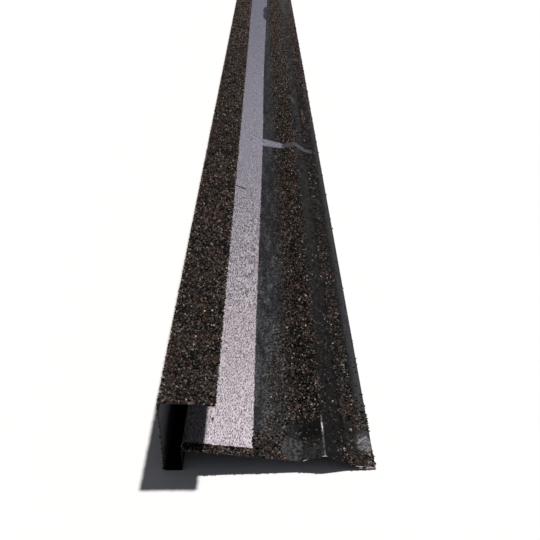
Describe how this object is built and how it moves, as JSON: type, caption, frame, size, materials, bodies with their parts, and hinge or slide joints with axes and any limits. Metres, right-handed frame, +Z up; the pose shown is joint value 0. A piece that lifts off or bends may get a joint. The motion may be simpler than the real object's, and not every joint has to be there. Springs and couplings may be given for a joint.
{
  "type": "rake trim",
  "caption": "Long roll-formed steel rake trim: capped channel for panel edges, drip gutter, beaded nailing deck with a hemmed edge, and a dark brown stone granule coat.",
  "frame": {"origin": "on the floor, under the middle of the trim's box, as it lies on a level floor", "axes": "+Z up, +Y along the trim's length, +X across it from the outer leg to the deck's hemmed edge"},
  "size_m": [0.14, 2, 0.0579],
  "materials": {
    "coated_steel": "sheet steel with a satin black base coat, one bare zinc-alloy strip and raw cut ends",
    "stone_granules": "bonded crushed stone granules, a blend of black, dark brown, rust and tan"
  },
  "bodies": {
    "root": {"rake_trim": "coated_steel"}
  },
  "joints": []
}
